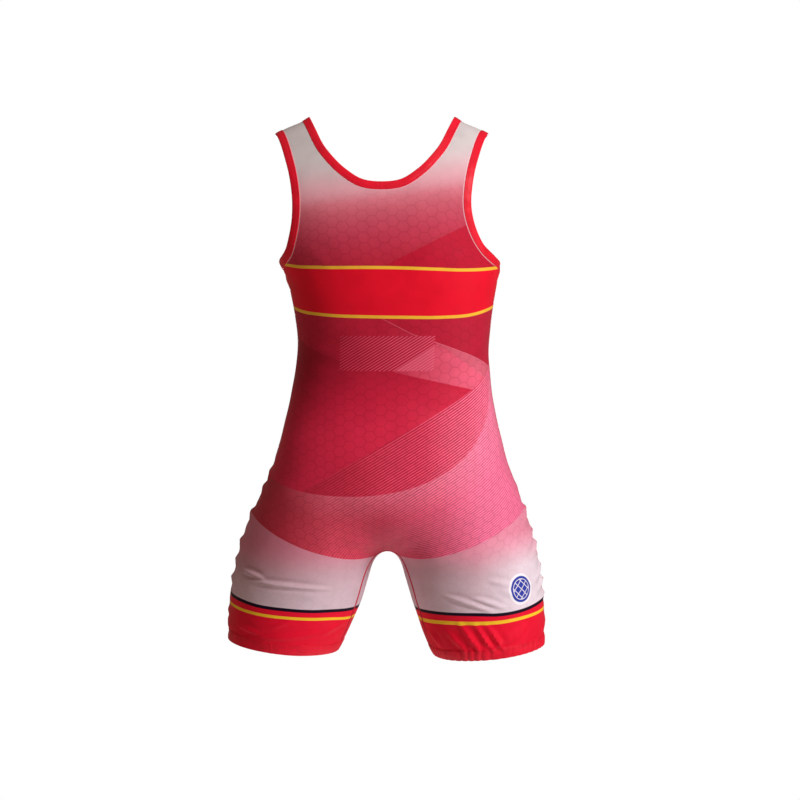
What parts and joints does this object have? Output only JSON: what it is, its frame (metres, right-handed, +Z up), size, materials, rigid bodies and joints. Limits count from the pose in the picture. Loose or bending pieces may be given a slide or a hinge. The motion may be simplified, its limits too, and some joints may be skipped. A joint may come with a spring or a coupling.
{
  "type": "wrestling singlet",
  "caption": "Sleeveless one-piece wrestling singlet in worn form, with scooped neck, bound armholes and short legs with elastic hems.",
  "frame": {"origin": "midway between the tops of the two shoulder straps, on the skin side of the cloth, where the wearer's shoulders hold it", "axes": "+Z up, the front of the garment faces -Y, +X towards the wearer's left"},
  "size_m": [0.4653, 0.2373, 0.7833],
  "materials": {
    "printed_knit": "smooth stretch knit with a printed pattern",
    "binding": "folded stretch binding",
    "hem": "turned elastic hem"
  },
  "bodies": {
    "root": {"back_panel": "printed_knit", "front_panel": "printed_knit", "neck_binding": "binding", "armhole_binding_left": "binding", "armhole_binding_right": "binding", "hem_band_left": "hem", "hem_band_right": "hem"}
  },
  "joints": []
}
